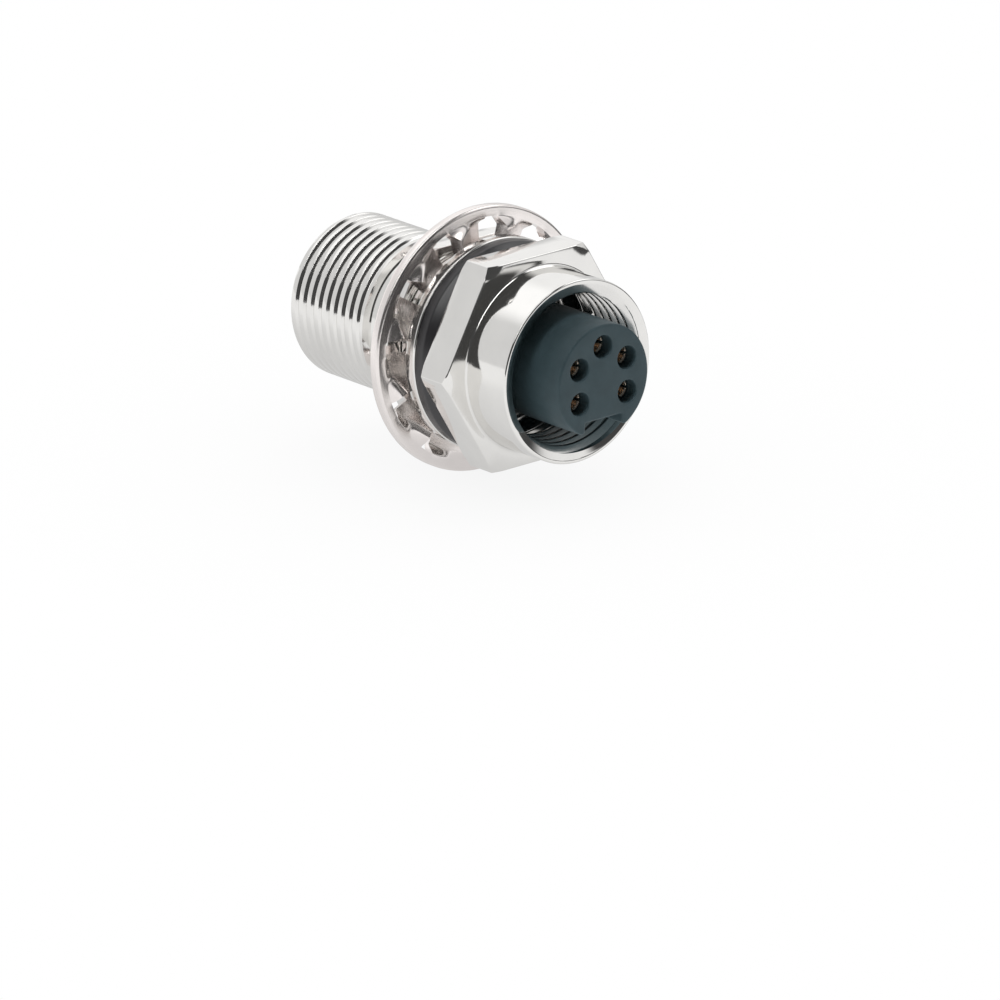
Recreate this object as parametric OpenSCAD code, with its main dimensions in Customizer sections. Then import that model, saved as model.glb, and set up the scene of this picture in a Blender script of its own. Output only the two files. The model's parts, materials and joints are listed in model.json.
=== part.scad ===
// Five-pole bulkhead adapter: a keyed socket at the front, pins at the rear, and a panel clamp between them.
// The axis is X, with the socket towards +X, +Z up and the key at the bottom.
// The origin lies on the axis at the gasket's rear face, where the panel's front face goes.

/* [Thread] */
// Major diameter of the connector thread, used at both ends
thread_d = 22.22; // [21:0.01:24]
// Pitch of the connector thread
thread_pitch = 1.5875; // [1:0.0001:2]
// Depth of the connector thread, which the neck is turned down by
thread_depth = 0.74; // [0.3:0.01:0.9]
// Length of the thread that takes the jam nut, from the panel's front face
mount_len = 12.1; // [10.5:0.1:20]
// Length of the plain neck between the jam nut's thread and the coupling thread
neck_len = 2.05; // [1:0.05:4]
// Length of the coupling thread at the rear
coupling_len = 16.2; // [14:0.1:24]
// Chamfer where a thread starts or ends
thread_chamfer = 0.9; // [0.3:0.1:1.2]

/* [Shell] */
// Hex flange, width across the flats
hex_af = 28; // [27:0.1:36]
// Hex flange, thickness
hex_t = 5.05; // [4:0.01:10]
// Bevel on the corners of the hex flange
hex_bevel = 0.8; // [0.1:0.05:1.5]
// Wall of the front barrel, from the internal thread's root to the outside
barrel_wall = 1.24; // [0.8:0.01:2.1]
// Front barrel, length ahead of the hex flange
barrel_len = 7.67; // [5:0.01:14]
// Bevel around the front rim
rim_bevel = 0.25; // [0.1:0.05:0.6]
// Small bevel on the other turned edges
edge_break = 0.2; // [0.05:0.05:0.3]
// Radius of the fillet at the foot of the barrel
foot_fillet = 0.4; // [0.2:0.05:0.8]
// Depth of the threaded recess, from the front rim to the lip
recess_depth = 11.4; // [9:0.05:12]
// Length of the plain relief at the bottom of the threaded recess
recess_relief_len = 1.5; // [0.5:0.1:3]
// Thickness of the lip that stops the inserts
lip_t = 2; // [1:0.1:4]
// Wall of the rear barrel, from the thread's crest to the bore
rear_wall = 1.86; // [1.6:0.01:2.2]

/* [Inserts] */
// Space for the seal between the socket insert's nose and the shell's bore
seal_space = 1.65; // [1.45:0.01:1.85]
// How far the nose stands proud of the front rim
nose_proud = 5.18; // [0:0.01:8]
// Bevel around the nose's face
nose_bevel = 0.35; // [0.1:0.05:0.8]
// Keyway in the nose, width
key_w = 6.3; // [5:0.1:6.8]
// Keyway in the nose, distance of its floor from the axis
key_floor = 5.1; // [5:0.05:6]
// Length of the socket insert's flange behind the seal
flange_len = 5.2; // [3:0.1:8]
// Thickness of the potting between the inserts
potting_t = 2; // [1:0.1:4]
// Depth of the pin cavity, from the rear rim
cavity_depth = 12.4; // [9:0.1:13]
// How far the pin insert's rim lies inside the rear barrel
cup_recess = 0.4; // [0:0.05:1]

/* [Contacts] */
// Radius of the circle that the contacts stand on
contact_circle_r = 4.62; // [4.45:0.01:4.8]
// Angle between neighbouring contacts
contact_step = 60; // [55:1:60]
// Diameter of a contact's body and socket
socket_d = 2.9; // [2.6:0.05:3]
// Bore of the socket
socket_bore_d = 2.05; // [1.8:0.05:2.1]
// Depth of the socket's bore
socket_depth = 9; // [6:0.1:11]
// Width of the slots in the socket's wall
slot_w = 0.4; // [0.2:0.05:0.6]
// Length of the slots in the socket's wall
slot_len = 7; // [4:0.1:8]
// How far the socket's end lies behind the nose's face
socket_recess = 1.7; // [0.5:0.1:3]
// Diameter of a pin
pin_d = 2; // [1.6:0.05:2.2]
// How far a pin's tip lies inside the rear rim
pin_recess = 2.4; // [1:0.1:4]
// Diameter of the collar that holds a contact
collar_d = 3.7; // [3.3:0.05:4]
// Length of the collar
collar_len = 1.2; // [0.6:0.1:2]

/* [Panel clamp] */
// Gasket, outer diameter
gasket_d = 28.4; // [26:0.1:34]
// Gasket, thickness
gasket_t = 3.17; // [2.4:0.01:5]
// Gasket, length of the straight part of its side, towards the panel
gasket_land = 1.5; // [0.5:0.05:2]
// Gasket, how far its side leans in towards the flange
gasket_lean = 1; // [0:0.05:1.2]
// Flat washer, outer diameter
washer_d = 28.7; // [26:0.1:36]
// Flat washer, thickness
washer_t = 1.7; // [1:0.05:2.5]
// Lock washer, outer diameter
lock_d = 35.8; // [33:0.1:44]
// Lock washer, width of the outer ring
lock_ring_w = 1.4; // [1:0.05:2.2]
// Lock washer, thickness of its sheet
lock_t = 1.6; // [1:0.05:1.8]
// Lock washer, number of teeth
lock_teeth = 12; // [8:1:14]
// Lock washer, angle that one tooth spans
tooth_span = 22; // [12:0.5:24]
// Lock washer, twist of the teeth
tooth_twist = 28; // [10:1:35]
// Lock washer, turn of its first tooth from the top
lock_turn = 8.3; // [0:0.1:45]
// Jam nut, wall from its bore to its flats
nut_wall = 1.5; // [1.1:0.1:5.7]
// Jam nut, thickness
nut_t = 2.6; // [2:0.05:3.2]
// Jam nut, bevel on the corners
nut_bevel = 1.2; // [0.3:0.05:1.4]

/* [Clearances] */
// Gap all round between the nut's plain bore and the thread's crest
nut_clear = 0.09; // [0.05:0.01:0.2]
// Gap all round between a washer and the thread's crest
washer_clear = 0.35; // [0.2:0.01:0.6]
// Gap all round between the gasket and the shank
gasket_clear = 0.05; // [0.02:0.01:0.2]
// Gap all round between an insert and the shell
insert_clear = 0.05; // [0.02:0.01:0.1]
// Gap all round between the insert seal's cord and the walls of its pocket
seal_clear = 0.2; // [0.05:0.01:0.25]
// Gap all round between a contact and its hole
contact_clear = 0.1; // [0.02:0.01:0.12]
// Gap all round that the pin cavity leaves for a mating nose
mate_clear = 0.2; // [0.1:0.01:0.25]
// Gap between the lock washer and the pieces on both sides of it
stack_clear = 0.03; // [0.01:0.01:0.1]

/* [Hidden] */
round_fn = 96;
// Extra length of a cut past the face that it opens
past = 1;

// Depth of the internal thread's crest as a share of the pitch
inner_crest_share = 0.5413;
// Angle of a thread's flanks from square to the axis
flank_angle = 30;
// How far the mouth and the relief of the threaded recess clear its root
mouth_clear = 0.05;
recess_relief_clear = 0.1;
thread_r = thread_d / 2;
inner_crest_r = thread_r - inner_crest_share * thread_pitch;
neck_r = thread_r - thread_depth;
recess_relief_r = thread_r + recess_relief_clear;
rim_mouth_r = thread_r + mouth_clear;
barrel_r = thread_r + barrel_wall;

// Places along the axis, from front to rear
hex_rear_x = gasket_t;
hex_front_x = hex_rear_x + hex_t;
rim_x = hex_front_x + barrel_len;
nose_x = rim_x + nose_proud;
lip_front_x = rim_x - recess_depth;
lip_rear_x = lip_front_x - lip_t;
mount_end_x = -mount_len;
coupling_start_x = mount_end_x - neck_len;
rear_x = coupling_start_x - coupling_len;

// Inserts and seal
bore_r = thread_r - rear_wall;
nose_r = bore_r - seal_space;
insert_r = bore_r - insert_clear;
lip_r = nose_r + mate_clear;
seal_cord_d = seal_space - 2 * seal_clear;
seal_pocket_len = seal_cord_d + 2 * insert_clear;
seal_mid_r = (nose_r + bore_r) / 2;
flange_front_x = lip_rear_x - seal_pocket_len;
flange_rear_x = flange_front_x - flange_len;
potting_rear_x = flange_rear_x - potting_t;
cup_rim_x = rear_x + cup_recess;
cavity_r = nose_r + mate_clear;
cavity_floor_x = rear_x + cavity_depth;
rib_w = key_w - 2 * mate_clear;
rib_face = key_floor + mate_clear;

// Contacts
socket_r = socket_d / 2;
hole_r = socket_r + contact_clear;
socket_x = nose_x - socket_recess;
collar_r = collar_d / 2;
collar_pocket_len = collar_len + contact_clear;
pin_r = pin_d / 2;
pin_tip_x = rear_x + pin_recess;
// The body steps down to the pin this far ahead of the cavity's floor
pin_seat_len = 3;
pin_start_x = cavity_floor_x + pin_seat_len;

// Panel clamp
lock_r = lock_d / 2;
lock_ring_r = lock_r - lock_ring_w;
tooth_tip_r = thread_r + washer_clear;
tooth_root_r = lock_ring_r + lock_ring_w / 2;
tooth_flare = tan(tooth_span / 2);
tooth_rise = tooth_root_r * tooth_flare * sin(tooth_twist) + lock_t / 2 * cos(tooth_twist);
lock_mid_x = -washer_t - stack_clear - tooth_rise;
nut_front_x = lock_mid_x - tooth_rise - stack_clear;
nut_rear_x = nut_front_x - nut_t;
nut_bore_r = thread_r + nut_clear;
nut_af = 2 * (nut_bore_r + nut_wall);

nickel = [0.80, 0.80, 0.78];
steel = [0.74, 0.72, 0.70];
slate = [0.16, 0.19, 0.21];
black = [0.06, 0.06, 0.07];
gold = [0.80, 0.62, 0.30];

// A solid of revolution about X, from points given as [place along the axis, radius]
module turned(points) {
  rotate([0, 90, 0])
    rotate_extrude($fn = round_fn)
      polygon([for (p = points) [p[1], p[0]]]);
}

// A plain round bar along X, between two places on the axis
module bar(from_x, to_x, radius) {
  translate([min(from_x, to_x), 0, 0])
    rotate([0, 90, 0])
      cylinder(h = abs(to_x - from_x), r = radius, $fn = round_fn);
}

// A ring about X with its outer edges broken
module ring(rear, front, inner_r, outer_r, edge) {
  turned([
    [rear, inner_r], [rear, outer_r - edge], [rear + edge, outer_r],
    [front - edge, outer_r], [front, outer_r - edge], [front, inner_r]
  ]);
}

// A hexagonal prism along X with corners at both sides and flats at top and bottom
module hexagon(rear, front, across_flats) {
  translate([rear, 0, 0])
    rotate([0, 90, 0])
      rotate([0, 0, 30])
        cylinder(h = front - rear, d = across_flats / cos(30), $fn = 6);
}

// A hexagonal prism whose corners are turned off at 30 degrees
module bevelled_hexagon(rear, front, across_flats, bevel) {
  corner_r = across_flats / 2 / cos(30);
  fall = bevel * tan(30);
  intersection() {
    hexagon(rear, front, across_flats);
    turned([
      [rear, 0], [rear, corner_r - bevel], [rear + fall, corner_r],
      [front - fall, corner_r], [front, corner_r - bevel], [front, 0]
    ]);
  }
}

// Puts its children at the place of one contact, counted from 1 to 5, with contact 3 at the top
module at_contact(number) {
  rotate([(number - 3) * contact_step, 0, 0])
    translate([0, 0, contact_circle_r])
      children();
}

// Puts its children at all five contacts
module at_contacts() {
  for (number = [1:5])
    at_contact(number)
      children();
}

// The outside of the shell without its flange: barrel, shank, neck and coupling thread
module shell_outside() {
  fillet_arc = [
    for (a = [0:15:90])
      [hex_front_x + foot_fillet * (1 - cos(a)), barrel_r + foot_fillet * (1 - sin(a))]
  ];
  flank_len = thread_depth * tan(flank_angle);
  turned(concat(
    [
      [rear_x, 0], [rear_x, thread_r - thread_chamfer], [rear_x + thread_chamfer, thread_r],
      [coupling_start_x - flank_len, thread_r], [coupling_start_x, neck_r],
      [mount_end_x, neck_r], [mount_end_x + flank_len, thread_r], [hex_rear_x, thread_r],
      [hex_rear_x, barrel_r + foot_fillet]
    ],
    fillet_arc,
    [[rim_x - rim_bevel, barrel_r], [rim_x, barrel_r - rim_bevel], [rim_x, 0]]
  ));
}

// The inside of the shell: threaded recess, lip, and the bore that takes the inserts from the rear
module shell_inside() {
  mouth_fall = rim_mouth_r - inner_crest_r;
  relief_end_x = lip_front_x + recess_relief_len;
  bore_mouth_x = rear_x + edge_break;
  turned([
    [rim_x + past, 0], [rim_x + past, rim_mouth_r], [rim_x, rim_mouth_r], [rim_x - mouth_fall, inner_crest_r],
    [relief_end_x, inner_crest_r], [relief_end_x, recess_relief_r],
    [lip_front_x, recess_relief_r], [lip_front_x, lip_r], [lip_rear_x, lip_r], [lip_rear_x, bore_r],
    [bore_mouth_x, bore_r], [rear_x, bore_r + edge_break], [rear_x - past, bore_r + edge_break],
    [rear_x - past, 0]
  ]);
}

module shell() {
  color(nickel)
    difference() {
      union() {
        shell_outside();
        bevelled_hexagon(hex_rear_x, hex_front_x, hex_af, hex_bevel);
      }
      shell_inside();
    }
}

// The slot along the bottom of the nose, open to the front
module keyway() {
  translate([lip_front_x, -key_w / 2, -nose_r - past])
    cube([nose_x + past - lip_front_x, key_w, nose_r + past - key_floor]);
}

// The hole for one contact through the socket insert, with a bevelled mouth
module socket_hole() {
  turned([
    [flange_rear_x - past, 0], [flange_rear_x - past, hole_r], [nose_x - edge_break, hole_r],
    [nose_x, hole_r + edge_break], [nose_x + past, hole_r + edge_break], [nose_x + past, 0]
  ]);
}

module socket_insert() {
  color(slate)
    difference() {
      turned([
        [flange_rear_x, 0], [flange_rear_x, insert_r], [flange_front_x, insert_r], [flange_front_x, nose_r],
        [nose_x - nose_bevel, nose_r], [nose_x, nose_r - nose_bevel], [nose_x, 0]
      ]);
      keyway();
      at_contacts() socket_hole();
    }
}

// The key along the bottom of the pin cavity
module key_rib() {
  intersection() {
    translate([cup_rim_x + edge_break, -rib_w / 2, -insert_r])
      cube([cavity_floor_x - cup_rim_x, rib_w, insert_r - rib_face]);
    bar(cup_rim_x, cavity_floor_x + past, insert_r - insert_clear);
  }
}

// The hole for one contact through the pin insert, with a pocket for the collar at its front
module pin_hole() {
  collar_pocket_r = collar_r + contact_clear;
  pocket_x = potting_rear_x - collar_pocket_len;
  pin_hole_r = pin_r + contact_clear;
  turned([
    [potting_rear_x + past, 0], [potting_rear_x + past, collar_pocket_r], [pocket_x, collar_pocket_r],
    [pocket_x, hole_r], [pin_start_x - contact_clear, hole_r], [pin_start_x - contact_clear, pin_hole_r],
    [cavity_floor_x - past, pin_hole_r], [cavity_floor_x - past, 0]
  ]);
}

module pin_insert() {
  color(slate)
    difference() {
      union() {
        turned([
          [potting_rear_x, 0], [potting_rear_x, insert_r],
          [cup_rim_x, insert_r], [cup_rim_x, cavity_r + edge_break],
          [cup_rim_x + edge_break, cavity_r], [cavity_floor_x, cavity_r], [cavity_floor_x, 0]
        ]);
        key_rib();
      }
      at_contacts() pin_hole();
    }
}

module insert_seal() {
  color(black)
    translate([lip_rear_x - seal_pocket_len / 2, 0, 0])
      rotate([0, 90, 0])
        rotate_extrude($fn = round_fn)
          translate([seal_mid_r, 0])
            circle(d = seal_cord_d, $fn = 32);
}

module potting_disc() {
  color(black)
    difference() {
      bar(potting_rear_x, flange_rear_x, insert_r);
      at_contacts() bar(potting_rear_x - past, flange_rear_x + past, hole_r);
    }
}

// One double-ended contact: a slotted socket at the front, a collar, and a pin with a round tip
module contact_body() {
  socket_floor_x = socket_x - socket_depth;
  bore_r = socket_bore_d / 2;
  mouth = (socket_r - bore_r) / 2;
  collar_rear_x = potting_rear_x - collar_len;
  tip_arc = [for (a = [0:15:90]) [pin_tip_x + pin_r * (1 - sin(a)), pin_r * cos(a)]];
  difference() {
    turned(concat(
      [
        [socket_floor_x, 0], [socket_floor_x, bore_r], [socket_x - mouth, bore_r], [socket_x, bore_r + mouth],
        [socket_x, socket_r - mouth / 2], [socket_x - mouth / 2, socket_r],
        [potting_rear_x, socket_r], [potting_rear_x, collar_r], [collar_rear_x, collar_r],
        [collar_rear_x, socket_r], [pin_start_x, socket_r], [pin_start_x, pin_r]
      ],
      tip_arc
    ));
    for (turn = [0, 90])
      rotate([turn, 0, 0])
        translate([socket_x - slot_len, -slot_w / 2, -socket_d])
          cube([slot_len + past, slot_w, 2 * socket_d]);
  }
}

module contact(number) {
  color(gold)
    at_contact(number)
      contact_body();
}

module contact_1() { contact(1); }
module contact_2() { contact(2); }
module contact_3() { contact(3); }
module contact_4() { contact(4); }
module contact_5() { contact(5); }

// The gasket is straight towards the panel and leans in towards the flange
module panel_gasket() {
  gasket_r = gasket_d / 2;
  inner_r = thread_r + gasket_clear;
  color(black)
    turned([
      [0, inner_r], [0, gasket_r - edge_break], [edge_break, gasket_r], [gasket_land, gasket_r],
      [gasket_t, gasket_r - gasket_lean], [gasket_t, inner_r]
    ]);
}

module flat_washer() {
  color(nickel)
    ring(-washer_t, 0, thread_r + washer_clear, washer_d / 2, edge_break);
}

// One flat tooth that points at the axis from the top of the ring, turned about its own length
module lock_tooth() {
  rotate([0, 0, tooth_twist])
    rotate([90, 0, 90])
      linear_extrude(height = lock_t, center = true)
        polygon([
          [-tooth_tip_r * tooth_flare, tooth_tip_r], [tooth_tip_r * tooth_flare, tooth_tip_r],
          [tooth_root_r * tooth_flare, tooth_root_r], [-tooth_root_r * tooth_flare, tooth_root_r]
        ]);
}

module lock_washer() {
  color(steel)
    translate([lock_mid_x, 0, 0])
      union() {
        ring(-lock_t / 2, lock_t / 2, lock_ring_r, lock_r, edge_break);
        for (tooth = [0:lock_teeth - 1])
          rotate([lock_turn + tooth * 360 / lock_teeth, 0, 0])
            lock_tooth();
      }
}

module jam_nut() {
  color(nickel)
    difference() {
      bevelled_hexagon(nut_rear_x, nut_front_x, nut_af, nut_bevel);
      turned([
        [nut_rear_x - past, 0], [nut_rear_x - past, nut_bore_r + edge_break],
        [nut_rear_x, nut_bore_r + edge_break],
        [nut_rear_x + edge_break, nut_bore_r], [nut_front_x - edge_break, nut_bore_r],
        [nut_front_x, nut_bore_r + edge_break], [nut_front_x + past, nut_bore_r + edge_break],
        [nut_front_x + past, 0]
      ]);
    }
}

shell();
socket_insert();
pin_insert();
insert_seal();
potting_disc();
contact_1();
contact_2();
contact_3();
contact_4();
contact_5();
panel_gasket();
flat_washer();
lock_washer();
jam_nut();
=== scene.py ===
"""A five-pole bulkhead adapter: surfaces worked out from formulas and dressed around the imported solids."""
import json
import math

import bmesh
import bpy
import numpy as np
from bpy.props import FloatProperty, FloatVectorProperty, IntProperty, PointerProperty
from mathutils import Matrix, Vector
from mathutils.geometry import delaunay_2d_cdt


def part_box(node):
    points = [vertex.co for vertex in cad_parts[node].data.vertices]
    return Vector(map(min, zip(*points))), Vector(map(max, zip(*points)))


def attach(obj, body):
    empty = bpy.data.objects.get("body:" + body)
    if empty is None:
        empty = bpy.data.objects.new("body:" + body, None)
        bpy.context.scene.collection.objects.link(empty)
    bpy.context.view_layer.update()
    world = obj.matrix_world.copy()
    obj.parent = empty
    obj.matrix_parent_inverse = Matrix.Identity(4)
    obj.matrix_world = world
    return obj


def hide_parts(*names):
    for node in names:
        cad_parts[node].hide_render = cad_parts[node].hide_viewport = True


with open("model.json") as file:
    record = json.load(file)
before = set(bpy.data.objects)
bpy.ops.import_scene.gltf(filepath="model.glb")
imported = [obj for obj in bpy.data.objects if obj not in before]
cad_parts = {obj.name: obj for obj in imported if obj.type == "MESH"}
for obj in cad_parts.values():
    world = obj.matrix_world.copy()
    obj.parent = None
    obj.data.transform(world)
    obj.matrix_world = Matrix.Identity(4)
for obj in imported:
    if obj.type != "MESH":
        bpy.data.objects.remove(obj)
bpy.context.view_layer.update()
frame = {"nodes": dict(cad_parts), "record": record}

bl_info = {
    "name": "Bulkhead adapter",
    "version": (1, 0, 0),
    "blender": (4, 5, 0),
    "location": "View3D > Sidebar > Adapter",
    "description": "Builds a circular bulkhead adapter with cut threads, a keyed insert and a toothed lock washer",
    "category": "Add Mesh",
}

MM = 0.001
FULL_TURN = 2 * math.pi
# Rise of a 60 degree thread's flank for its length
FLANK_SLOPE = 1 / math.tan(math.pi / 6)
CONTACTS = ("contact_1", "contact_2", "contact_3", "contact_4", "contact_5")

# Points round the axis, round a contact's hole and round the keyed nose's arc
SHELL_COLUMNS, NUT_COLUMNS, RING_COLUMNS = 156, 120, 144
HOLE_COLUMNS, NOSE_COLUMNS = 40, 150
# Rows over a flat's rounded edge, the nose's rounded edge and the pin's round tip
FLAT_ROWS, NOSE_ROWS, PIN_ROWS = 4, 5, 7
# Points across a tooth of the lock washer and across the gap beside it, and rows in its root and in its end
TOOTH_POINTS, GAP_POINTS, ROOT_ROWS, END_ROWS = 15, 7, 10, 4
# Points across a socket's leaf, and the sine of a slot's half angle on the narrow rows
LEAF_POINTS, SLOT_SINE = 10, 0.2
# Rounded mouth of a socket, outside and inside, as (along, across) shares of its wall
SOCKET_LIP = ((-0.3, 0), (-0.1, -0.1), (0, -0.3))
SOCKET_MOUTH = ((-0.5, 0), (-0.2, 0.15), (0, 0.4))
# Easing at a thread's root for that at its crest, and spare turns of its rows past each end
ROOT_EASE, SPARE_TURNS = 0.4, 2
# Room that a rounded tip of the keyway takes from the arc, for the tip's cut
TIP_ROOM = 1.05
# Digits of a millimetre and of an angle to which equal points agree
WELD_DIGITS, ANGLE_DIGITS = 5, 9
# Triangulation that keeps what lies inside the outline, and how close its points may come in millimetres
INSIDE_OUTLINE, TOUCHING = 1, 1e-6
# Faces that meet at more than this keep a sharp edge
SHARP_ANGLE = math.radians(33)


def length(name, description, millimetres):
    """A length property whose default is given in millimetres."""
    return FloatProperty(name=name, description=description, default=millimetres * MM, unit="LENGTH", precision=5)


def share(name, description, value):
    """A plain share between 0 and 1."""
    return FloatProperty(name=name, description=description, default=value, min=0, max=1, subtype="FACTOR")


def degrees(name, description, value):
    """An angle property whose default is given in degrees."""
    return FloatProperty(name=name, description=description, default=math.radians(value), subtype="ANGLE")


def colour(name, description, value):
    """A linear colour property."""
    return FloatVectorProperty(name=name, description=description, default=value, size=3, min=0, max=1,
                               subtype="COLOR")


def level(name, description, value):
    """A level of light, where 1 is white."""
    return FloatProperty(name=name, description=description, default=value, min=0)


class AdapterThread(bpy.types.PropertyGroup):
    pitch: length("Pitch", "Advance of the thread in one turn", 1.5875)
    outer_crest: share("Outer crest", "Flat top of the outer thread as a share of the pitch", 0.57)
    outer_root: share("Outer root", "Flat bottom of the outer thread as a share of the pitch", 0.05)
    outer_depth: length("Outer depth", "Depth of the outer thread", 0.52)
    inner_crest: share("Inner crest", "Flat top of the inner thread as a share of the pitch", 0.30)
    inner_root: share("Inner root", "Flat bottom of the inner thread as a share of the pitch", 0.07)
    inner_depth: length("Inner depth", "Depth of the inner thread", 0.86)
    ease: length("Eased edges", "How far the corners of the thread are eased", 0.07)


class AdapterShell(bpy.types.PropertyGroup):
    barrel_wall: length("Barrel wall", "Barrel's wall outside the thread's largest radius", 1.24)
    barrel_len: length("Barrel length", "Barrel ahead of the flange", 7.67)
    rim_bevel: length("Rim edge", "Rounding of the barrel's front edge", 0.25)
    foot_fillet: length("Foot fillet", "Fillet between the barrel and the flange", 0.4)
    hex_bevel: length("Hex bevel", "How much of the flange's corners is turned off at 30 degrees", 0.8)
    hex_edge: length("Hex edge", "Rounding along the flange's flats", 0.14)
    hex_corner: length("Hex corner", "Rounding of the flange's six upright edges", 0.2)
    shank_len: length("Plain shank", "Plain shank behind the flange, as far as the gasket hides it", 2.4)
    neck_depth: length("Neck depth", "Depth of the plain neck under the thread's crests", 0.74)
    neck_len: length("Neck length", "Plain neck between the two stretches of outer thread", 2.05)
    recess_depth: length("Recess depth", "Depth of the front recess under the rim", 11.4)
    recess_relief: length("Recess relief", "Plain relief at the bottom of the recess", 1.5)
    mouth_clear: length("Mouth clearance", "How far the recess's mouth clears the thread's root", 0.75)
    recess_clear: length("Relief clearance", "How far the recess's relief clears the thread's root", 0.1)
    lip: length("Lip", "Thickness of the lip at the bottom of the recess", 2.0)
    rear_wall: length("Rear wall", "Wall of the rear barrel", 1.86)
    edge: length("Broken edges", "Small bevel on the other edges", 0.2)


class AdapterInserts(bpy.types.PropertyGroup):
    nose_r: length("Nose radius", "Radius of the socket insert's nose", 7.6)
    nose_edge: length("Nose edge", "Rounding of the nose's front edge", 0.3)
    key_w: length("Keyway width", "Width of the keyway", 6.3)
    key_floor: length("Keyway floor", "Distance of the keyway's floor from the axis", 5.1)
    key_tip: length("Keyway tips", "Rounding where the keyway opens at the nose's side", 1.0)
    key_corner: length("Keyway corners", "Rounding of the keyway's inner corners", 0.3)
    mate_clear: length("Mating clearance", "Clearance of the mating key and nose", 0.2)
    hole_r: length("Hole radius", "Radius of the five contact holes", 1.55)
    hole_edge: length("Hole edge", "Bevel around the contact holes", 0.2)
    flange_len: length("Flange length", "Length of the socket insert's flange", 5.2)
    cavity_depth: length("Cavity depth", "Depth of the pin cavity from the shell's rear end", 12.4)
    pin_seat: length("Pin seat", "Distance from the cavity's floor to the contact's step", 3.0)


class AdapterContacts(bpy.types.PropertyGroup):
    socket_r: length("Socket radius", "Outer radius of the socket", 1.45)
    bore_r: length("Socket bore", "Radius of the socket's bore", 1.025)
    bore_depth: length("Bore depth", "Depth of the socket's bore", 9.0)
    slot_w: length("Slot width", "Width of the socket's four slots", 0.4)
    slot_len: length("Slot length", "Length of the socket's four slots", 7.0)
    pin_r: length("Pin radius", "Radius of the pin", 1.0)
    collar_len: length("Collar length", "Length of the collar", 1.2)
    clear: length("Clearance", "Clearance of the contacts in the inserts", 0.1)


class AdapterClamp(bpy.types.PropertyGroup):
    gasket_clear: length("Gasket clearance", "Gap between the gasket and the shank", 0.05)
    gasket_land: length("Gasket land", "Straight part of the gasket's side", 1.5)
    gasket_lean: length("Gasket lean", "How far the gasket's side leans in", 1.0)
    gasket_edge: length("Gasket edges", "Rounding of the gasket's edges", 0.22)
    washer_clear: length("Washer clearance", "Gap between the washers and the thread", 0.35)
    washer_edge: length("Washer edges", "Rounding of the flat washer's edges", 0.22)
    teeth: IntProperty(name="Teeth", description="Number of lock washer teeth", default=12, min=6, max=16)
    tooth_span: degrees("Tooth span", "Angle that one tooth spans", 22)
    tooth_twist: degrees("Tooth twist", "Twist of the teeth", 28)
    tooth_turn: degrees("Tooth turn", "Turn of the first tooth from the top", 8.3)
    ring_w: length("Ring width", "Width of the lock washer's outer ring", 1.4)
    root_len: length("Root length", "Length over which a tooth takes up its twist", 1.3)
    sheet: length("Sheet", "Thickness of the lock washer's sheet", 1.6)
    ring_edge: length("Ring edges", "Rounding of the lock washer's outer edges", 0.4)
    nut_bevel: length("Nut bevel", "How much of the nut's corners is turned off at 30 degrees", 1.2)
    nut_play: length("Nut play", "Gap between the nut's thread and the shell's thread", 0.09)


class AdapterFinishes(bpy.types.PropertyGroup):
    nickel: colour("Nickel", "Bright nickel plate", (0.84, 0.83, 0.81))
    plated_steel: colour("Plated steel", "Plated spring steel of the lock washer", (0.93, 0.88, 0.86))
    carrier: colour("Carrier", "Slate moulding of the inserts", (0.052, 0.088, 0.102))
    seal_rubber: colour("Rubber", "Black rubber of the gasket", (0.020, 0.019, 0.022))
    potting: colour("Potting", "Cured sealing compound", (0.03, 0.03, 0.03))
    contact_gold: colour("Gold", "Gold plate of the contacts", (0.86, 0.73, 0.61))


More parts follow.
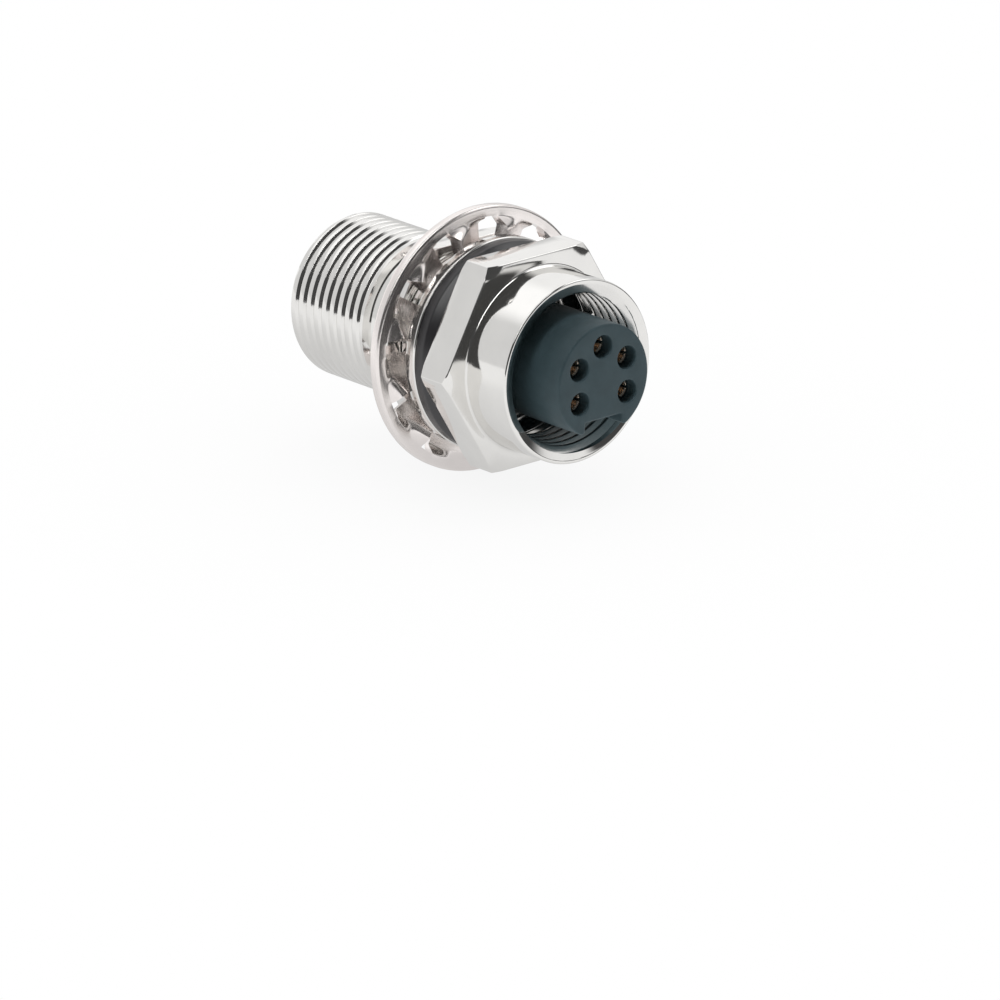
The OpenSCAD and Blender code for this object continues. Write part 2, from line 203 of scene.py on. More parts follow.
class AdapterStudio(bpy.types.PropertyGroup):
    azimuth: degrees("Azimuth", "Direction of the view around the upright", 49.955)
    elevation: degrees("Elevation", "Height of the view over the horizon", 18.096)
    roll: degrees("Roll", "Turn of the adapter about its own axis, seen in the view", 1.2)
    distance: length("Distance", "Distance of the camera from the front rim", 1293.6)
    aside: length("Aside", "How far the rim's middle lies right of the picture's middle", 10.04)
    above: length("Above", "How far the rim's middle lies above the picture's middle", 16.58)
    lens: FloatProperty(name="Lens", description="Focal length in millimetres", default=360,
                        subtype="DISTANCE_CAMERA")
    floor_gap: length("Floor gap", "Gap between the lock washer and the floor", 0.2)
    floor_left: length("Floor left", "How far the floor reaches to the left", 1500)
    floor_right: length("Floor right", "How far the floor reaches to the right", 80)
    floor_rear: length("Floor rear", "How far the floor reaches to the rear", 1500)
    floor_front: length("Floor front", "How far the floor reaches to the front", 170)
    # Painted shade: width of a round darker patch on the floor's glow behind the gasket, which no lamp casts
    painted_shade_reach: length("Shade behind", "Width of the round shade on the floor behind the gasket", 85)
    # Painted shadow: how far ambient occlusion dims the floor's glow near the adapter
    shadow_reach: length("Shadow reach", "How far the contact shadow spreads", 60)
    floor_tone: level("Floor tone", "Light of the open floor in the metal", 0.95)
    # Painted shade: tone of that round patch on the floor's glow as the metal sees it
    floor_painted_shade: level("Floor behind", "Light of the floor behind the adapter in the metal", 0.68)
    # Painted shadow: tones of the deepest ambient occlusion shadow on the floor's glow, in the metal and for the
    # camera
    floor_shadow: level("Floor shadow", "Light of the floor's deepest shadow in the metal", 0.6)
    seen_shadow: level("Seen shadow", "Light of the floor's deepest shadow for the camera", 0.9)
    left_screen: level("Left screen", "Light of the screen behind at the left", 0.74)
    right_screen: level("Right screen", "Light of the screen behind at the right", 1.0)
    right_low: level("Right low", "Light of the room at the right, low down", 0.66)
    right_front: level("Right front", "Light of the room in front at the right, high up", 0.9)
    ceiling: level("Ceiling", "Light of the white ceiling behind", 1.18)
    key: level("Key", "Light of the long soft box", 4.0)
    fill: level("Fill", "Light of the small soft box", 2.0)
    dark: level("Dark", "Light of the dark part of the room", 0.062)
    backdrop: colour("Backdrop", "White of the floor and the background", (1.0, 1.0, 1.0))


class AdapterSettings(bpy.types.PropertyGroup):
    thread: PointerProperty(type=AdapterThread, name="Thread", description="Sizes of the threads")
    shell: PointerProperty(type=AdapterShell, name="Shell", description="Sizes of the shell")
    inserts: PointerProperty(type=AdapterInserts, name="Inserts", description="Sizes of the two inserts")
    contacts: PointerProperty(type=AdapterContacts, name="Contacts", description="Sizes of the contacts")
    clamp: PointerProperty(type=AdapterClamp, name="Clamp", description="Sizes of the gasket, washers and nut")
    finishes: PointerProperty(type=AdapterFinishes, name="Finishes", description="Colours of the finishes")
    studio: PointerProperty(type=AdapterStudio, name="Studio", description="Camera, floor and light")


# Places and radii that several pieces use

def reach(node):
    """Rear end, front end and upright radius of a solid, from its box."""
    low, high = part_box(node)
    return low.x, high.x, high.z


def coupling_thread():
    """Crest radius, rear end and front end of the coupling thread's full crests, from the record's mount."""
    mount = next(m for m in frame["record"]["mounts"] if m["name"] == "coupling_thread")
    half = mount["dims"]["length_mm"] * MM / 2
    middle = mount["pos_m"][0]
    return mount["dims"]["r_mm"] * MM, middle - half, middle + half


def reach_radius(node):
    """Half the width of a solid's box."""
    low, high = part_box(node)
    return (high.y - low.y) / 2


def place_across(node):
    """Middle of a solid's box across the axis, as y and z."""
    low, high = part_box(node)
    return (low.y + high.y) / 2, (low.z + high.z) / 2


def lip_radius(inserts):
    """Radius of the shell's lip and of the pin cavity, which both clear a nose."""
    return inserts.nose_r + inserts.mate_clear


# Surfaces

def around(x, radius, angles):
    """Points at places x along the axis: y = radius cos(angle), z = radius sin(angle)."""
    return np.stack(np.broadcast_arrays(x, radius * np.cos(angles), radius * np.sin(angles)), axis=-1)


def turned(profile, angles):
    """A turned surface: each (x, radius) of the profile becomes one circle of points."""
    profile = np.asarray(profile)
    return around(profile[:, :1], profile[:, 1:], angles)


def rounded(points, cuts, steps=4):
    """A polyline with its inner corners eased.

    Each corner C becomes the curve (1-t)^2 A + 2t(1-t) C + t^2 B, where A and B lie one cut before and after it.
    """
    points = np.asarray(points, dtype=float)
    corner = points[1:-1]
    cut = np.broadcast_to(cuts, len(corner))[:, None]
    before = points[:-2] - corner
    after = points[2:] - corner
    start = corner + before / np.linalg.norm(before, axis=1, keepdims=True) * cut
    end = corner + after / np.linalg.norm(after, axis=1, keepdims=True) * cut
    t = np.linspace(0, 1, steps + 1)[None, :, None]
    curves = (1 - t) ** 2 * start[:, None] + 2 * t * (1 - t) * corner[:, None] + t ** 2 * end[:, None]
    return np.concatenate([points[:1], curves.reshape(-1, points.shape[1]), points[-1:]])


def rounded_loop(points, cuts):
    """A closed polyline with all its corners eased, its first point repeated at the end."""
    points = np.asarray(points, dtype=float)
    loop = rounded(np.concatenate([points[-1:], points, points[:1]]), cuts)[1:-1]
    return np.concatenate([loop, loop[:1]])


def numbered(rows, columns):
    """Numbers of a grid's points."""
    return np.arange(rows * columns).reshape(rows, columns)


def joined(here, beside):
    """Quads between each row and the next, from the points' numbers and those of the points beside them."""
    return np.stack([here[:-1], beside[:-1], beside[1:], here[1:]], axis=-1).reshape(-1, 4)


def tube(grid):
    """Quads over a grid of points whose columns close on themselves."""
    here = numbered(*grid.shape[:2])
    return grid.reshape(-1, 3), joined(here, np.roll(here, -1, axis=1))


def sheet(grid):
    """Quads over an open grid of points, or over a stack of such grids."""
    grids = grid.reshape(-1, *grid.shape[-3:])
    here = np.arange(grids[..., 0].size).reshape(grids.shape[:3])
    quads = np.stack([here[:, :-1, :-1], here[:, :-1, 1:], here[:, 1:, 1:], here[:, 1:, :-1]], axis=-1)
    return grids.reshape(-1, 3), quads.reshape(-1, 4)


def thread_profile(thread, side):
    """One pitch of the outer or inner thread as (place, depth) points, from one crest's middle to the next.

    A flat crest, a straight flank, a flat root and a straight flank, with the four corners eased.
    """
    crest, root, depth = (getattr(thread, f"{side}_{part}") for part in ("crest", "root", "depth"))
    flank = (1 - crest - root) / 2
    low = depth / thread.pitch
    corners = np.array([
        [crest / 2, 0], [crest, 0], [crest + flank, low], [crest + flank + root, low], [1, 0], [1 + crest / 2, 0],
    ]) * thread.pitch
    ease, root_ease = thread.ease, thread.ease * ROOT_EASE
    return rounded(corners, [ease, root_ease, root_ease, ease], steps=2)


def threaded(x_low, x_high, pitch, profile, radius_at, angles):
    """A threaded stretch whose rows follow the helix.

    Row k stands at x = start_k + pitch angle / (one turn), held between both ends, and after one turn it runs
    into the row one pitch further on. radius_at(x, depth) gives the radius from the profile's depth there.
    """
    per_turn = len(profile) - 1
    first = math.floor(x_low / pitch) - SPARE_TURNS
    turns = math.ceil((x_high - x_low) / pitch) + 2 * SPARE_TURNS + 1
    starts = ((first + np.arange(turns))[:, None] * pitch + profile[:-1, 0]).ravel()
    x = np.clip(starts[:, None] + pitch * angles / FULL_TURN, x_low, x_high)
    phase = x - pitch * angles / FULL_TURN
    along = (phase - profile[0, 0]) % pitch + profile[0, 0]
    depth = np.interp(along, profile[:, 0], profile[:, 1])
    grid = around(x, radius_at(x, depth), angles)
    here = numbered(*x.shape)
    beside = np.concatenate([here[:-per_turn, 1:], here[per_turn:, :1]], axis=1)
    return grid.reshape(-1, 3), joined(here[:-per_turn], beside)


def even_angles(count):
    """Angles evenly round the axis."""
    return np.arange(count) * FULL_TURN / count


def corner_turn(flat_r, corner_r):
    """Angle between a hexagon's corner and the point where its rounding meets the flat."""
    middle = (flat_r - corner_r) / math.cos(math.pi / 6)
    return math.atan2(corner_r / 2, middle + corner_r * math.cos(math.pi / 6))


def hex_angles(count, flat_r, corner_r):
    """Angles evenly round the axis, with extra ones at the start and end of each corner's rounding."""
    turn = corner_turn(flat_r, corner_r)
    extra = even_angles(6)[:, None] + turn * np.array([-1, -0.5, 0.5, 1])
    return np.unique(np.round(np.concatenate([even_angles(count), extra.ravel() % FULL_TURN]), ANGLE_DIGITS))


def hexagon(flat_r, corner_r, angles):
    """Radius of a hexagon with corners at both sides: flat_r / cos(angle from the flat's middle), and arcs at
    the corners that touch both flats."""
    sixth = FULL_TURN / 6
    from_corner = np.abs((angles + sixth / 2) % sixth - sixth / 2)
    middle = (flat_r - corner_r) / math.cos(sixth / 2)
    inside = np.maximum(corner_r ** 2 - (middle * np.sin(from_corner)) ** 2, 0)
    arc = middle * np.cos(from_corner) + np.sqrt(inside)
    flat = flat_r / np.cos(sixth / 2 - from_corner)
    return np.where(from_corner < corner_turn(flat_r, corner_r), arc, flat)


def hex_prism(x_rear, x_front, flat_r, corner_r, bevel, edge, angles):
    """Rows of a hexagonal prism from its front face to its rear face.

    The corners are turned off by a 30 degree cone, and the flats' edges are rounded: between the face's outline
    and the side, the rows follow a quarter circle on the flats and a straight line on the cone.
    """
    side = hexagon(flat_r, corner_r, angles)
    cone_r = flat_r / math.cos(math.pi / 6) - bevel
    face = np.minimum(side - edge, cone_r)
    fall = np.maximum(edge, (side - cone_r) * math.tan(math.pi / 6))
    step = np.linspace(0, 1, FLAT_ROWS)[:, None]
    quarter = step * math.pi / 2
    straight = np.clip((side - face - edge) / edge, 0, 1)
    out = np.sin(quarter) * (1 - straight) + step * straight
    back = (1 - np.cos(quarter)) * (1 - straight) + step * straight
    radius = face + (side - face) * out
    front_rows = around(x_front - fall * back, radius, angles)
    rear_rows = around(x_rear + fall * back, radius, angles)[::-1]
    return np.concatenate([front_rows, rear_rows])


def keyed_outline(radius, key_w, key_floor, tip, corner):
    """A circle with a flat-floored notch at its bottom, as (y, z) points, and the angle of each on the circle.

    The arc runs from one side of the notch over the top to the other. The notch follows, with its tips and inner
    corners eased, and its points are spread over the circle's missing arc by their length.
    """
    half = key_w / 2
    mouth = math.asin(half / radius)
    clear = mouth + TIP_ROOM * tip / radius
    bottom = -math.pi / 2
    arc = np.linspace(bottom + clear, bottom + FULL_TURN - clear, NOSE_COLUMNS)
    circle = radius * np.stack([np.cos(arc), np.sin(arc)], axis=-1)
    drop = -math.sqrt(radius ** 2 - half ** 2)
    notch = rounded(
        [circle[-1], (-half, drop), (-half, -key_floor), (half, -key_floor), (half, drop), circle[0]],
        [tip, corner, corner, tip], steps=6)[1:-1]
    steps = np.linalg.norm(np.diff(np.concatenate([circle[-1:], notch, circle[:1]]), axis=0), axis=1)
    passed = np.cumsum(steps)[:-1] / steps.sum()
    angles = np.concatenate([arc, arc[-1] + passed * 2 * clear])
    return np.concatenate([circle, notch]), angles


def moved_in(outline, distance):
    """An outline moved towards its inside, across its own direction at each point."""
    along = np.roll(outline, -1, axis=0) - np.roll(outline, 1, axis=0)
    across = np.stack([-along[:, 1], along[:, 0]], axis=-1)
    return outline + across / np.linalg.norm(across, axis=1, keepdims=True) * distance


def upright(x, outline):
    """Points of a flat outline stood up across the axis at x."""
    return np.concatenate([np.full((len(outline), 1), x), outline], axis=1)


def hole_circle(middle, radius):
    """A circle of points around a contact's place."""
    angles = even_angles(HOLE_COLUMNS)
    return np.asarray(middle) + radius * np.stack([np.cos(angles), np.sin(angles)], axis=-1)


def pierced_face(x, outline, middles, hole_r):
    """Triangles over a flat outline, without the round holes in it."""
    loops = [outline] + [hole_circle(middle, hole_r) for middle in middles]
    starts = np.cumsum([0] + [len(loop) for loop in loops])
    edges = [np.stack([np.arange(len(loop)), np.roll(np.arange(len(loop)), -1)], axis=-1) + start
             for loop, start in zip(loops, starts)]
    points = np.concatenate(loops)
    _, _, triangles, sources, _, _ = delaunay_2d_cdt(
        (points / MM).tolist(), np.concatenate(edges).tolist(), [], INSIDE_OUTLINE, TOUCHING)
    places = points[[source[0] for source in sources]]
    triangles = np.array(triangles)
    middle = places[triangles].mean(axis=1)
    gaps = np.linalg.norm(middle[:, None] - np.asarray(middles), axis=-1)
    triangles = triangles[(gaps > hole_r).all(axis=1)]
    return upright(x, places), triangles[:, [0, 1, 2, 2]]


def hole_walls(profile, middles):
    """Tubes of one (x, radius) profile at each contact's place."""
    return [tube(np.stack([upright(x, hole_circle(middle, radius)) for x, radius in profile]))
            for middle in middles]


def welded(blocks):
    """One mesh from blocks of points and quads: coincident points become one, and quads that lose a side
    become triangles or nothing."""
    offsets = np.cumsum([0] + [len(points) for points, _ in blocks])
    points = np.concatenate([points for points, _ in blocks])
    quads = np.concatenate([quads + offset for (_, quads), offset in zip(blocks, offsets)])
    _, kept, index = np.unique(np.round(points / MM, WELD_DIGITS), axis=0, return_index=True, return_inverse=True)
    quads = index.reshape(-1)[quads]
    same = quads == np.roll(quads, -1, axis=1)
    lost = same.sum(axis=1)
    whole = quads[lost == 0]
    sound = whole[(whole[:, 0] != whole[:, 2]) & (whole[:, 1] != whole[:, 3])]
    triangles = quads[lost == 1][~same[lost == 1]].reshape(-1, 3)
    return points[kept], sound.tolist() + triangles.tolist()


# Finishes

# Middle range of a noise pattern, which is stretched over a finish
PATTERN_LOW, PATTERN_HIGH = 0.3, 0.7
# Slow patches of a finish: how many to the metre, and the shades that they give
METAL_PATCHES, METAL_SHADES = 260.0, (0.97, 1.02)
MOULDED_PATCHES, MOULDED_SHADES = 420.0, (0.9, 1.1)
# How strongly the fine pattern tilts the surface
METAL_RELIEF, MOULDED_RELIEF = 0.25, 0.3


def add_node(tree, kind, inputs=None, **settings):
    """A shader node with its settings and the values or links of its inputs."""
    node = tree.nodes.new(kind)
    for name, value in settings.items():
        setattr(node, name, value)
    for name, value in (inputs or {}).items():
        if isinstance(value, bpy.types.NodeSocket):
            tree.links.new(value, node.inputs[name])
        else:
            node.inputs[name].default_value = value
    return node


def new_finish(name, metallic):
    """A material with its surface shader and the Object coordinates that its patterns read."""
    finish = bpy.data.materials.new(name)
    finish.use_nodes = True
    tree = finish.node_tree
    surface = tree.nodes["Principled BSDF"]
    surface.inputs["Metallic"].default_value = metallic
    place = add_node(tree, "ShaderNodeTexCoord").outputs["Object"]
    return finish, tree, surface, place


def ring_place(tree, place):
    """Coordinates that stay the same all the way round the axis: place along it, and distance from it."""
    parts = add_node(tree, "ShaderNodeSeparateXYZ", {"Vector": place})
    across = add_node(tree, "ShaderNodeCombineXYZ", {"Y": parts.outputs["Y"], "Z": parts.outputs["Z"]})
    radius = add_node(tree, "ShaderNodeVectorMath", {0: across.outputs["Vector"]}, operation="LENGTH")
    rings = add_node(tree, "ShaderNodeCombineXYZ", {"X": parts.outputs["X"], "Y": radius.outputs["Value"]})
    return rings.outputs["Vector"]


def grain(tree, place, scale, detail=3.0):
    """A noise pattern with a number of grains to the metre."""
    return add_node(tree, "ShaderNodeTexNoise",
                    {"Vector": place, "Scale": scale, "Detail": detail, "Roughness": 0.55}).outputs["Fac"]


def spread(tree, value, low, high):
    """A pattern's middle range stretched between two values."""
    return add_node(tree, "ShaderNodeMapRange",
                    {"Value": value, "From Min": PATTERN_LOW, "From Max": PATTERN_HIGH,
                     "To Min": low, "To Max": high}).outputs["Result"]


def tinted(tree, value, tint, dark, light):
    """A colour that a pattern shifts between a darker and a lighter shade of it."""
    ramp = add_node(tree, "ShaderNodeValToRGB", {"Fac": value})
    stops = zip(ramp.color_ramp.elements, (PATTERN_LOW, PATTERN_HIGH), (dark, light))
    for stop, position, shade in stops:
        stop.position = position
        stop.color = (*[min(channel * shade, 1) for channel in tint], 1)
    return ramp.outputs["Color"]


def relief(tree, surface, height, strength, distance):
    """Small unevenness of a surface."""
    bump = add_node(tree, "ShaderNodeBump", {"Height": height, "Strength": strength, "Distance": distance})
    tree.links.new(bump.outputs["Normal"], surface.inputs["Normal"])


def metal_finish(name, tint, smooth, rough, lines, line_depth):
    """Turned and plated metal: fine rings around the axis, and a slow change of gloss and shade."""
    finish, tree, surface, place = new_finish(name, 1.0)
    rings = grain(tree, ring_place(tree, place), lines)
    patches = grain(tree, place, METAL_PATCHES)
    tree.links.new(tinted(tree, patches, tint, *METAL_SHADES), surface.inputs["Base Color"])
    tree.links.new(spread(tree, rings, smooth, rough), surface.inputs["Roughness"])
    relief(tree, surface, rings, METAL_RELIEF, line_depth)
    return finish


def moulded_finish(name, tint, smooth, rough, grains, depth, gloss):
    """Moulded plastic or rubber: a fine even grain, and a slow change of shade."""
    finish, tree, surface, place = new_finish(name, 0.0)
    surface.inputs["Specular IOR Level"].default_value = gloss
    fine = grain(tree, place, grains, detail=4.0)
    patches = grain(tree, place, MOULDED_PATCHES)
    tree.links.new(tinted(tree, patches, tint, *MOULDED_SHADES), surface.inputs["Base Color"])
    tree.links.new(spread(tree, fine, smooth, rough), surface.inputs["Roughness"])
    relief(tree, surface, fine, MOULDED_RELIEF, depth)
    return finish


# Each slot's finish: its kind, its name, its least and most roughness, its grains to the metre and their depth in
# metres, and the gloss of a moulding
FINISHES = {
    "nickel": (metal_finish, "bright_nickel", 0.06, 0.11, 9000.0, 2e-6),
    "plated_steel": (metal_finish, "plated_spring_steel", 0.18, 0.28, 3000.0, 1.5e-6),
    "contact_gold": (metal_finish, "dull_gold", 0.18, 0.32, 6000.0, 3e-6),
    "carrier": (moulded_finish, "slate_moulding", 0.42, 0.55, 9000.0, 2e-5, 0.35),
    "seal_rubber": (moulded_finish, "black_rubber", 0.28, 0.38, 6000.0, 1e-5, 0.8),
    "potting": (moulded_finish, "cured_potting", 0.20, 0.35, 1500.0, 3e-5, 0.5),
}


def slot_finish(slot):
    """The finish of a slot, built when it is first asked for."""
    build, name, *values = FINISHES[slot]
    tint = getattr(bpy.context.scene.adapter.finishes, slot)
    return bpy.data.materials.get(name) or build(name, tint, *values)


# Pieces

def add_piece(node, body, slot, blocks):
    """Puts the blocks into one closed mesh that stands in for a solid and rides on its body."""
    points, faces = welded(blocks)
    mesh = bpy.data.meshes.new(node + "_surface")
    mesh.from_pydata(points, [], faces)
    work = bmesh.new()
    work.from_mesh(mesh)
    bmesh.ops.recalc_face_normals(work, faces=work.faces)
    work.to_mesh(mesh)
    work.free()
    mesh.polygons.foreach_set("use_smooth", np.ones(len(mesh.polygons), dtype=bool))
    mesh.set_sharp_from_angle(angle=SHARP_ANGLE)
    mesh.materials.append(slot_finish(slot))
    piece = bpy.data.objects.new(node + "_surface", mesh)
    bpy.context.scene.collection.objects.link(piece)
    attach(piece, body)
    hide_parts(node)


def shell_blocks(shell, thread, inserts):
    """The shell: front barrel, hex flange, both stretches of outer thread, bore, lip and threaded recess."""
    rear_x, rim_x, flat_r = reach("shell")
    hex_rear = reach("panel_gasket")[1]
    hex_front = rim_x - shell.barrel_len
    thread_r, crest_rear, crest_front = coupling_thread()
    neck_r = thread_r - shell.neck_depth
    neck_flank = shell.neck_depth / FLANK_SLOPE
    neck_rear = crest_front + neck_flank
    neck_front = neck_rear + shell.neck_len
    mount_end = neck_front + neck_flank
    chamfer = crest_rear - rear_x
    shank_end = hex_rear - shell.shank_len
    barrel_r = thread_r + shell.barrel_wall
    mouth_r = thread_r + shell.mouth_clear
    recess_r = thread_r + shell.recess_clear
    lip_front = rim_x - shell.recess_depth
    lip_rear = lip_front - shell.lip
    relief_end = lip_front + shell.recess_relief
    bore_r = thread_r - shell.rear_wall
    lip_r = lip_radius(inserts)
    angles = hex_angles(SHELL_COLUMNS, flat_r, shell.hex_corner)

    outer = thread_profile(thread, "outer")
    inner = thread_profile(thread, "inner")
    inner_crest_r = thread_r - thread.inner_depth

    def mount_radius(x, depth):
        """The crests' radius less the groove's depth, which runs out over one pitch at both ends."""
        runout = np.clip(np.minimum(x - mount_end, shank_end - x) / thread.pitch, 0, 1)
        return thread_r - depth * runout

    def coupling_radius(x, depth):
        """The crests' radius less the groove's depth, which runs out at the neck, within the rear chamfer's cone."""
        rear = thread_r - chamfer + (x - rear_x)
        runout = np.clip((crest_front - x) / thread.pitch, 0, 1)
        return np.minimum(thread_r - depth * runout, rear)

    def recess_radius(x, depth):
        """The crests' radius plus the groove's depth, or the cone at the mouth or at the bottom where it is wider."""
        mouth = mouth_r - (rim_x - x) * FLANK_SLOPE
        bottom = recess_r - (x - relief_end)
        return np.maximum(inner_crest_r + depth, np.maximum(mouth, bottom))

    barrel = turned(rounded(
        [(rim_x, mouth_r), (rim_x, barrel_r), (hex_front, barrel_r), (hex_front, barrel_r + 2 * shell.foot_fillet)],
        [shell.rim_bevel, shell.foot_fillet], steps=6), angles)
    flange = hex_prism(hex_rear, hex_front, flat_r, shell.hex_corner, shell.hex_bevel, shell.hex_edge, angles)
    shank = turned([(hex_rear, thread_r), (shank_end, thread_r)], angles)
    neck = turned([(mount_end, thread_r), (neck_front, neck_r), (neck_rear, neck_r), (crest_front, thread_r)], angles)
    inside = turned(rounded(
        [(rear_x, thread_r - chamfer), (rear_x, bore_r), (lip_rear, bore_r), (lip_rear, lip_r), (lip_front, lip_r),
         (lip_front, recess_r), (relief_end, recess_r)],
        [shell.edge, shell.edge / 4, shell.edge / 4, shell.edge, shell.edge]), angles)
    return [
        tube(np.concatenate([barrel, flange, shank])),
        threaded(mount_end, shank_end, thread.pitch, outer, mount_radius, angles),
        tube(neck),
        threaded(rear_x, crest_front, thread.pitch, outer, coupling_radius, angles),
        tube(inside),
        threaded(relief_end, rim_x, thread.pitch, inner, recess_radius, angles),
    ]


def socket_insert_blocks(inserts, shell):
    """The socket insert: a keyed nose with five holes, and the flange behind the shell's lip."""
    flange_rear, nose_x, insert_r = reach("socket_insert")
    key_end = reach("shell")[1] - shell.recess_depth
    flange_front = flange_rear + inserts.flange_len
    middles = [place_across(node) for node in CONTACTS]
    outline, angles = keyed_outline(inserts.nose_r, inserts.key_w, inserts.key_floor, inserts.key_tip,
                                    inserts.key_corner)
    edge = inserts.nose_edge
    quarter = np.linspace(0, math.pi / 2, NOSE_ROWS)
    rows = [upright(nose_x - edge * (1 - math.cos(q)), moved_in(outline, edge * (1 - math.sin(q))))
            for q in quarter]
    rows.append(upright(key_end, outline))
    stem = turned([(key_end, inserts.nose_r), (flange_front, inserts.nose_r), (flange_front, insert_r),
                   (flange_rear, insert_r)], angles)
    mouth_r = inserts.hole_r + inserts.hole_edge
    holes = rounded([(nose_x, mouth_r), (nose_x, inserts.hole_r), (flange_rear, inserts.hole_r)],
                    inserts.hole_edge)
    return [
        pierced_face(nose_x, rows[0][:, 1:], middles, mouth_r),
        tube(np.concatenate([np.stack(rows), stem])),
        pierced_face(flange_rear, stem[-1][:, 1:], middles, inserts.hole_r),
        *hole_walls(holes, middles),
    ]


def pin_insert_blocks(inserts, contacts, shell):
    """The pin insert: a cup with the key rib along its bottom, and five holes through its floor."""
    cup_rim, front_x, insert_r = reach("pin_insert")
    floor_x = reach("shell")[0] + inserts.cavity_depth
    cavity_r = lip_radius(inserts)
    middles = [place_across(node) for node in CONTACTS]
    outline, angles = keyed_outline(
        cavity_r, inserts.key_w - 2 * inserts.mate_clear, inserts.key_floor + inserts.mate_clear,
        inserts.key_corner, inserts.key_corner)
    edge = shell.edge
    cup = turned(rounded(
        [(front_x, insert_r), (cup_rim, insert_r), (cup_rim, cavity_r), (cup_rim + 2 * edge, cavity_r)],
        [edge, edge]), angles)
    rib = np.stack([upright(cup_rim + 2 * edge, outline), upright(floor_x, outline)])
    pin_hole = contacts.pin_r + contacts.clear
    collar_hole = reach_radius(CONTACTS[0]) + contacts.clear
    step_x = floor_x + inserts.pin_seat - contacts.clear
    pocket_x = front_x - contacts.collar_len - contacts.clear
    holes = [(floor_x, pin_hole), (step_x, pin_hole), (step_x, inserts.hole_r), (pocket_x, inserts.hole_r),
             (pocket_x, collar_hole), (front_x, collar_hole)]
    return [
        pierced_face(front_x, cup[0][:, 1:], middles, collar_hole),
        tube(np.concatenate([cup, rib])),
        pierced_face(floor_x, outline, middles, pin_hole),
        *hole_walls(holes, middles),
    ]


def contact_blocks(node, contacts, inserts):
    """One contact: a round-tipped pin, a collar, and a socket with four slots.

    The profile is turned about the contact's own axis. Columns follow the slots' parallel sides: a leaf runs
    from asin(half slot / radius) to a quarter turn less that, and the slots' quads are taken out between the
    outer and inner rows and closed by walls.
    """
    tip_x, mouth_x, _ = reach(node)
    collar_r = reach_radius(node)
    collar_front = reach("pin_insert")[1]
    collar_rear = collar_front - contacts.collar_len
    step_x = reach("shell")[0] + inserts.cavity_depth + inserts.pin_seat
    slot_x = mouth_x - contacts.slot_len
    bore_end = mouth_x - contacts.bore_depth
    outer_r, inner_r, pin_r = contacts.socket_r, contacts.bore_r, contacts.pin_r
    wall = outer_r - inner_r
    quarter = np.linspace(0, math.pi / 2, PIN_ROWS)
    tip = np.stack([tip_x + pin_r * (1 - np.cos(quarter)), pin_r * np.sin(quarter)], axis=-1)
    body = np.array([
        (step_x, pin_r), (step_x, outer_r), (collar_rear, outer_r), (collar_rear, collar_r),
        (collar_front, collar_r), (collar_front, outer_r)])
    outside = np.concatenate([[(slot_x, outer_r)], (mouth_x, outer_r) + wall * np.array(SOCKET_LIP)])
    inside = np.concatenate([[(slot_x, inner_r)], (mouth_x, inner_r) + wall * np.array(SOCKET_MOUTH)])
    bore = np.array([(bore_end, inner_r), (bore_end, 0)])
    profile = np.concatenate([tip, body, outside, inside[::-1], bore])

    slot_sine = contacts.slot_w / 2 / np.maximum(profile[:, 1:], contacts.slot_w)
    half = np.arcsin(np.minimum(slot_sine, SLOT_SINE))
    leaf_angles = half + (math.pi / 2 - 2 * half) * np.linspace(0, 1, LEAF_POINTS)
    one_quarter = np.concatenate([leaf_angles, np.full_like(half, math.pi / 2)], axis=1)
    angles = np.concatenate([one_quarter + turn * math.pi / 2 for turn in range(4)], axis=1)
    grid = turned(profile, angles)
    grid[..., 1:] += place_across(node)

    # Rows of the leaves run from the slots' end outside, over the mouth and back to it inside
    points, quads = tube(grid)
    rows, columns = angles.shape
    index = numbered(rows, columns)
    first = len(tip) + len(body)
    last = first + 2 * len(outside) - 1
    in_quarter = np.arange(columns) % (LEAF_POINTS + 1)
    in_slot = in_quarter >= LEAF_POINTS - 1
    row = np.arange(rows - 1)
    in_leaf_rows = (row >= first) & (row < last)
    kept = ~(in_leaf_rows[:, None] & in_slot).ravel()
    out_rows = index[first:first + len(outside)]
    in_rows = index[last - len(inside) + 1:last + 1][::-1]
    edges = np.flatnonzero((in_quarter == 0) | (in_quarter == LEAF_POINTS - 1))
    walls = np.stack([out_rows[:-1, edges], out_rows[1:, edges], in_rows[1:, edges], in_rows[:-1, edges]], axis=-1)
    slots = np.flatnonzero(in_slot)
    after = (slots + 1) % columns
    roots = np.stack([out_rows[0, slots], out_rows[0, after], in_rows[0, after], in_rows[0, slots]], axis=-1)
    return [(points, np.concatenate([quads[kept], walls.reshape(-1, 4), roots]))]


def gasket_blocks(clamp):
    """The gasket: a closed profile turned about the axis, straight towards the panel and then leaning in."""
    rear, front, outer_r = reach("panel_gasket")
    inner_r = coupling_thread()[0] + clamp.gasket_clear
    edge = clamp.gasket_edge
    profile = rounded_loop(
        [(rear, inner_r), (rear, outer_r), (rear + clamp.gasket_land, outer_r), (front, outer_r - clamp.gasket_lean),
         (front, inner_r)], [edge / 4, edge, edge, edge, edge / 4])
    return [tube(turned(profile, even_angles(RING_COLUMNS)))]


def flat_washer_blocks(clamp):
    """The flat washer: a closed profile turned about the axis, with rounded edges."""
    rear, front, outer_r = reach("flat_washer")
    inner_r = coupling_thread()[0] + clamp.washer_clear
    edge = clamp.washer_edge
    profile = rounded_loop([(rear, inner_r), (rear, outer_r), (front, outer_r), (front, inner_r)],
                           [edge / 2, edge, edge, edge / 2])
    return [tube(turned(profile, even_angles(RING_COLUMNS)))]


